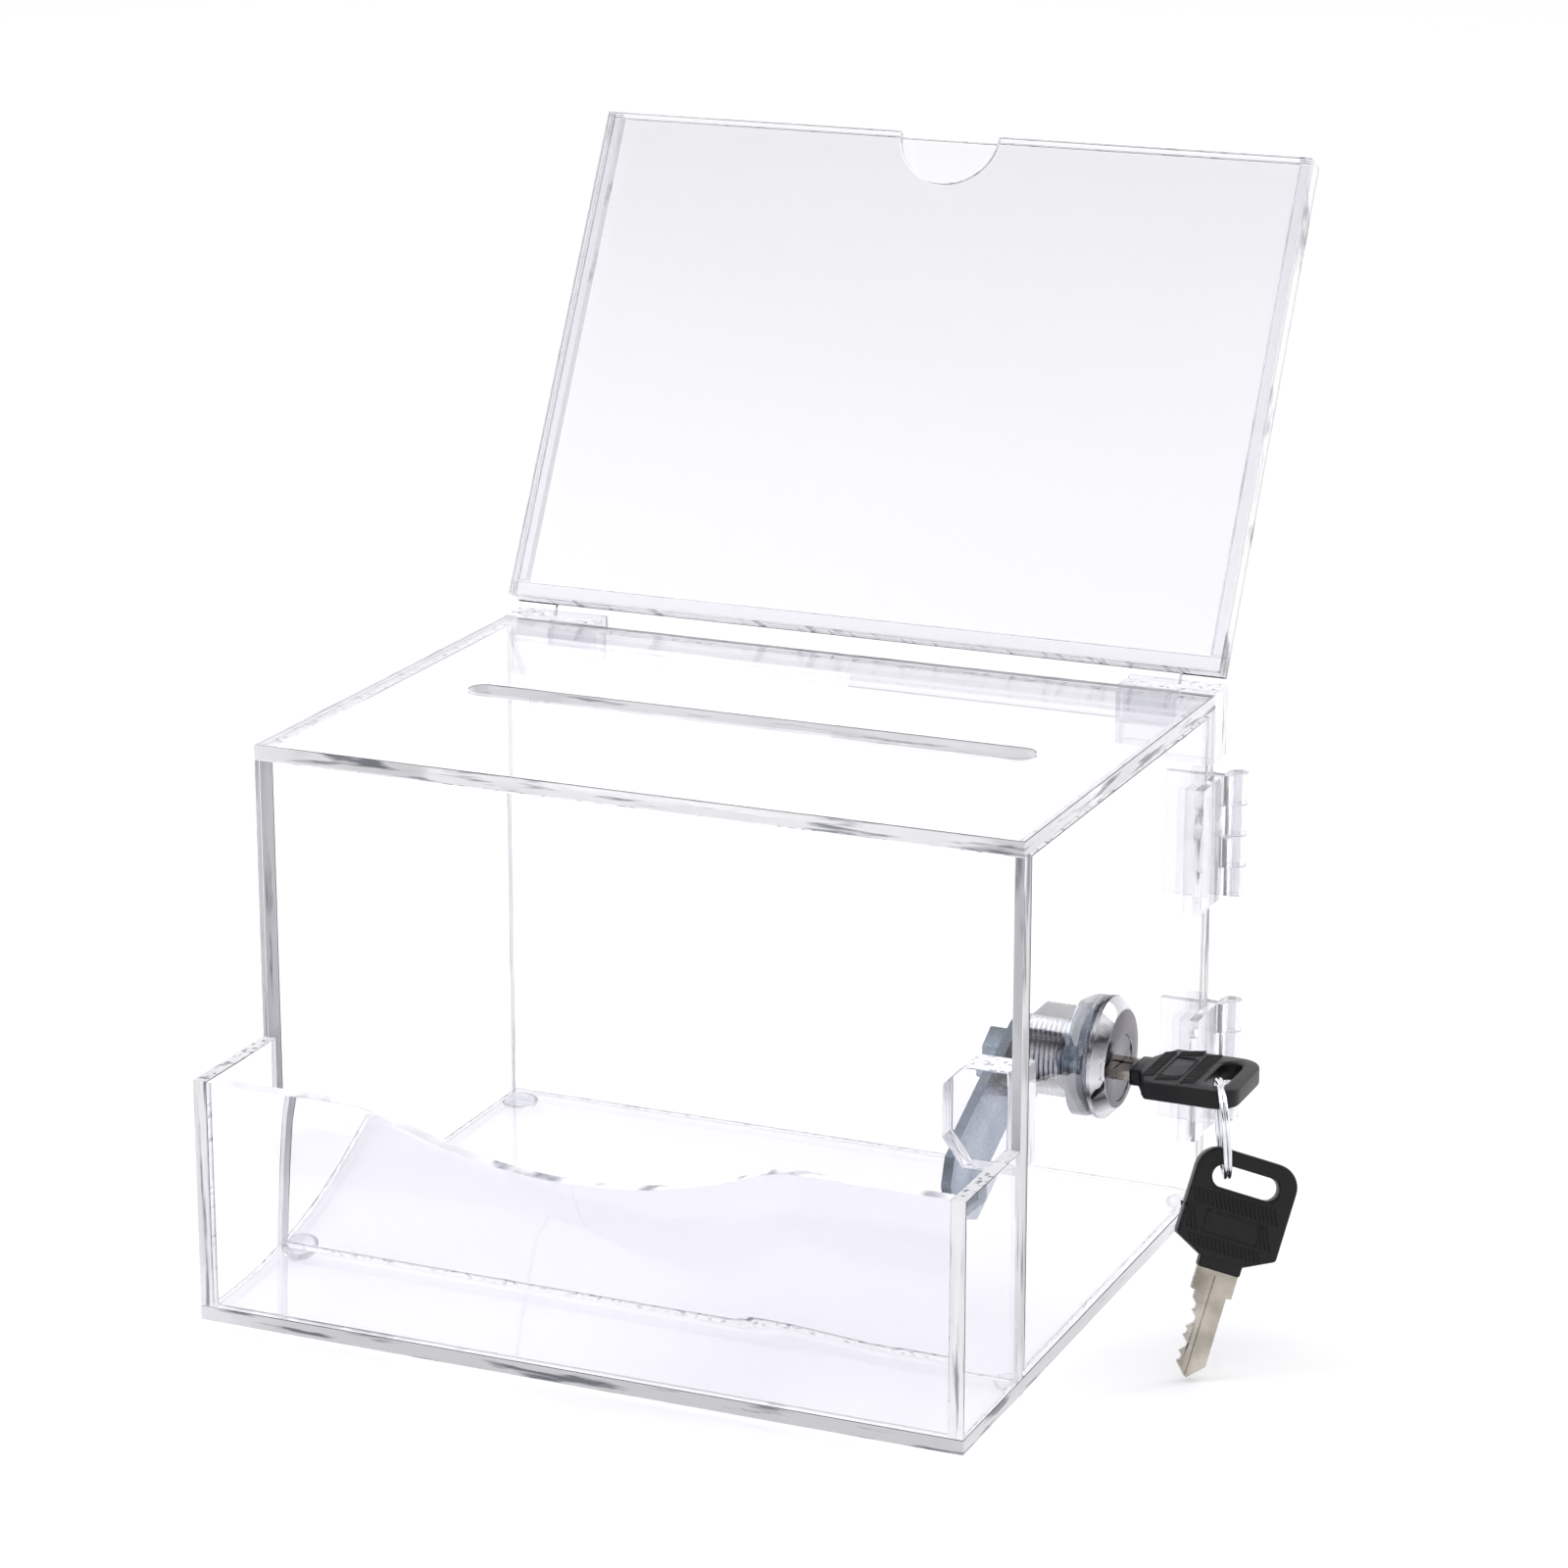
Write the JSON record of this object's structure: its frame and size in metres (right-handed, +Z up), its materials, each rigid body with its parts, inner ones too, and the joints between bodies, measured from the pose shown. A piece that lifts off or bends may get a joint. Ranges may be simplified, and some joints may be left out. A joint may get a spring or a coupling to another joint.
{
  "type": "donation box",
  "caption": "Clear acrylic counter box with a money slot, leaflet pocket, lift-out sloping sign holder and a hinged side door with a cam lock and keys.",
  "frame": {"origin": "centre of the whole outline in X and Y, at the soles of the feet in Z", "axes": "+X from the left wall towards the lock door, +Y from the pocket towards the sign holder, +Z up"},
  "size_m": [0.1992, 0.1946, 0.2111],
  "materials": {
    "clear_acrylic": "clear cast acrylic sheet, polished faces and saw-cut edges",
    "clear_rubber": "clear soft bumper",
    "chrome": "bright chrome plating",
    "zinc_plate": "blue-white zinc plating",
    "brass": "stamped brass",
    "spring_steel": "drawn wire",
    "nickel": "nickel-plated key blank with milled cuts",
    "ring_steel": "bright steel wire",
    "black_plastic": "satin black moulding"
  },
  "bodies": {
    "box": {"base_plate": "clear_acrylic", "left_wall": "clear_acrylic", "front_wall": "clear_acrylic", "back_wall": "clear_acrylic", "top_panel": "clear_acrylic", "strike_block": "clear_acrylic", "pocket_left_wall": "clear_acrylic", "pocket_right_wall": "clear_acrylic", "pocket_front_wall": "clear_acrylic", "sign_bracket_left": "clear_acrylic", "sign_bracket_right": "clear_acrylic", "feet": "clear_rubber", "hinge_box_leaf_upper": "clear_acrylic", "hinge_box_leaf_lower": "clear_acrylic", "hinge_pin_upper": "clear_acrylic", "hinge_pin_lower": "clear_acrylic"},
    "door": {"door_panel": "clear_acrylic", "hinge_door_leaf_upper": "clear_acrylic", "hinge_door_leaf_lower": "clear_acrylic", "lock_housing": "chrome", "lock_nut": "zinc_plate"},
    "plug": {"lock_plug": "chrome", "lock_wafers": "brass", "wafer_springs": "spring_steel", "lock_cam": "zinc_plate", "cam_washer": "zinc_plate", "cam_bolt": "zinc_plate"},
    "key": {"key_blade": "nickel", "key_bow": "black_plastic"},
    "ring": {"key_ring": "ring_steel"},
    "spare_key": {"spare_key_blade": "nickel", "spare_key_bow": "black_plastic"},
    "sign": {"sign_front_sheet": "clear_acrylic", "sign_back_sheet": "clear_acrylic", "sign_left_strip": "clear_acrylic", "sign_right_strip": "clear_acrylic", "sign_bottom_strip": "clear_acrylic"}
  },
  "joints": [
    {"name": "door_swing", "type": "hinge", "parent": "box", "child": "door", "pos_m": [0.06323, 0.04195, 0.0546], "axis": [0, 0, 1], "range_deg": [0, 180]},
    {"name": "lock_turn", "type": "hinge", "parent": "door", "child": "plug", "pos_m": [0.05943, -0.02335, 0.0527], "axis": [1, 0, 0], "range_deg": [-25, 65]},
    {"name": "key_pull", "type": "slide", "parent": "plug", "child": "key", "axis": [1, 0, 0], "range_m": [0, 0.026]},
    {"name": "ring_turn", "type": "hinge", "parent": "key", "child": "ring", "pos_m": [0.08564, -0.03133, 0.04656], "axis": [-0.9101, -0.4052, -0.0872], "range_deg": [0, 40]},
    {"name": "spare_key_swing", "type": "hinge", "parent": "ring", "child": "spare_key", "pos_m": [0.08638, -0.031, 0.0373], "axis": [-0.4067, 0.9135, 0], "range_deg": [0, 24]},
    {"name": "sign_lift", "type": "slide", "parent": "box", "child": "sign", "axis": [0, 0, 1], "range_m": [0, 0.014]}
  ]
}
